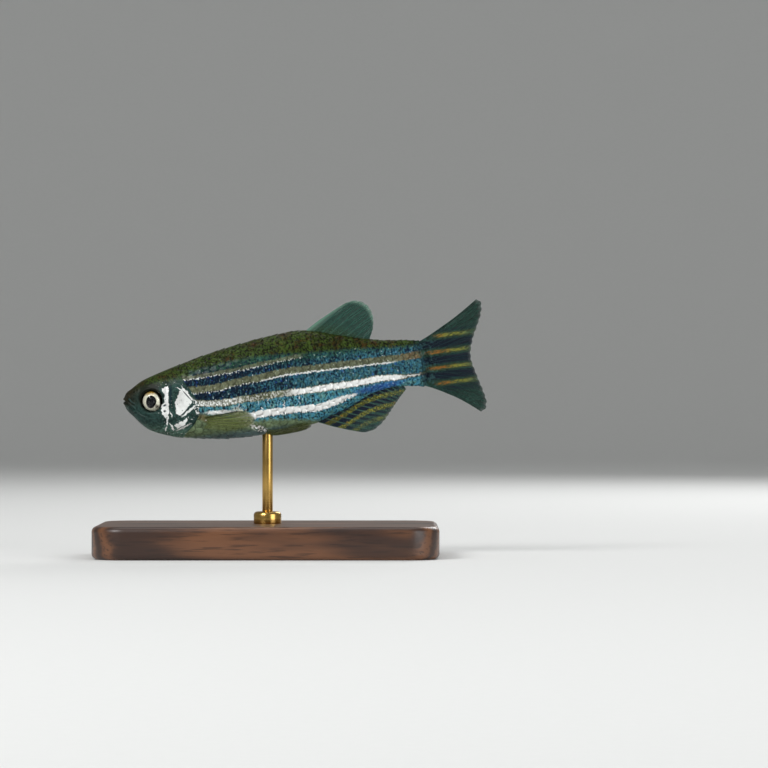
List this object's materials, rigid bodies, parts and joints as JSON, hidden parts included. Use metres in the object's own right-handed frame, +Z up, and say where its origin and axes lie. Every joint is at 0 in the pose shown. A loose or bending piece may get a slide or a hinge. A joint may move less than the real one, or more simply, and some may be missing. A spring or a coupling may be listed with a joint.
{
  "type": "zebra danio",
  "caption": "Life-size still model of a zebra danio: striped slender body, eyes, gill covers, barbels and rayed fins, held over a flat base by a rod, its head a little low.",
  "frame": {"origin": "centre of the base's underside, right below the rod", "axes": "+X from the fish's head towards its tail, +Z up, the fish's left side faces -Y"},
  "size_m": [0.048, 0.025, 0.0317],
  "materials": {
    "flesh": "wet skin, navy and silver stripes",
    "silver": "silvery gill cover",
    "eye": "glossy, pale iris and black pupil",
    "fin": "thin rayed membrane",
    "wood": "dark satin wood",
    "brass": "polished"
  },
  "bodies": {
    "root": {"head": "flesh", "lower_jaw": "flesh", "trunk": "flesh", "tail": "flesh", "tail_stalk": "flesh", "gill_cover_left": "silver", "gill_cover_right": "silver", "eye_left": "eye", "eye_right": "eye", "barbel_rostral_left": "flesh", "barbel_rostral_right": "flesh", "barbel_maxillary_left": "flesh", "barbel_maxillary_right": "flesh", "dorsal_fin": "fin", "anal_fin": "fin", "caudal_fin_upper": "fin", "caudal_fin_lower": "fin", "pectoral_fin_left": "fin", "pectoral_fin_right": "fin", "pelvic_fin_left": "fin", "pelvic_fin_right": "fin", "stand_base": "wood", "stand_rod": "brass", "stand_collar": "brass"}
  },
  "joints": []
}
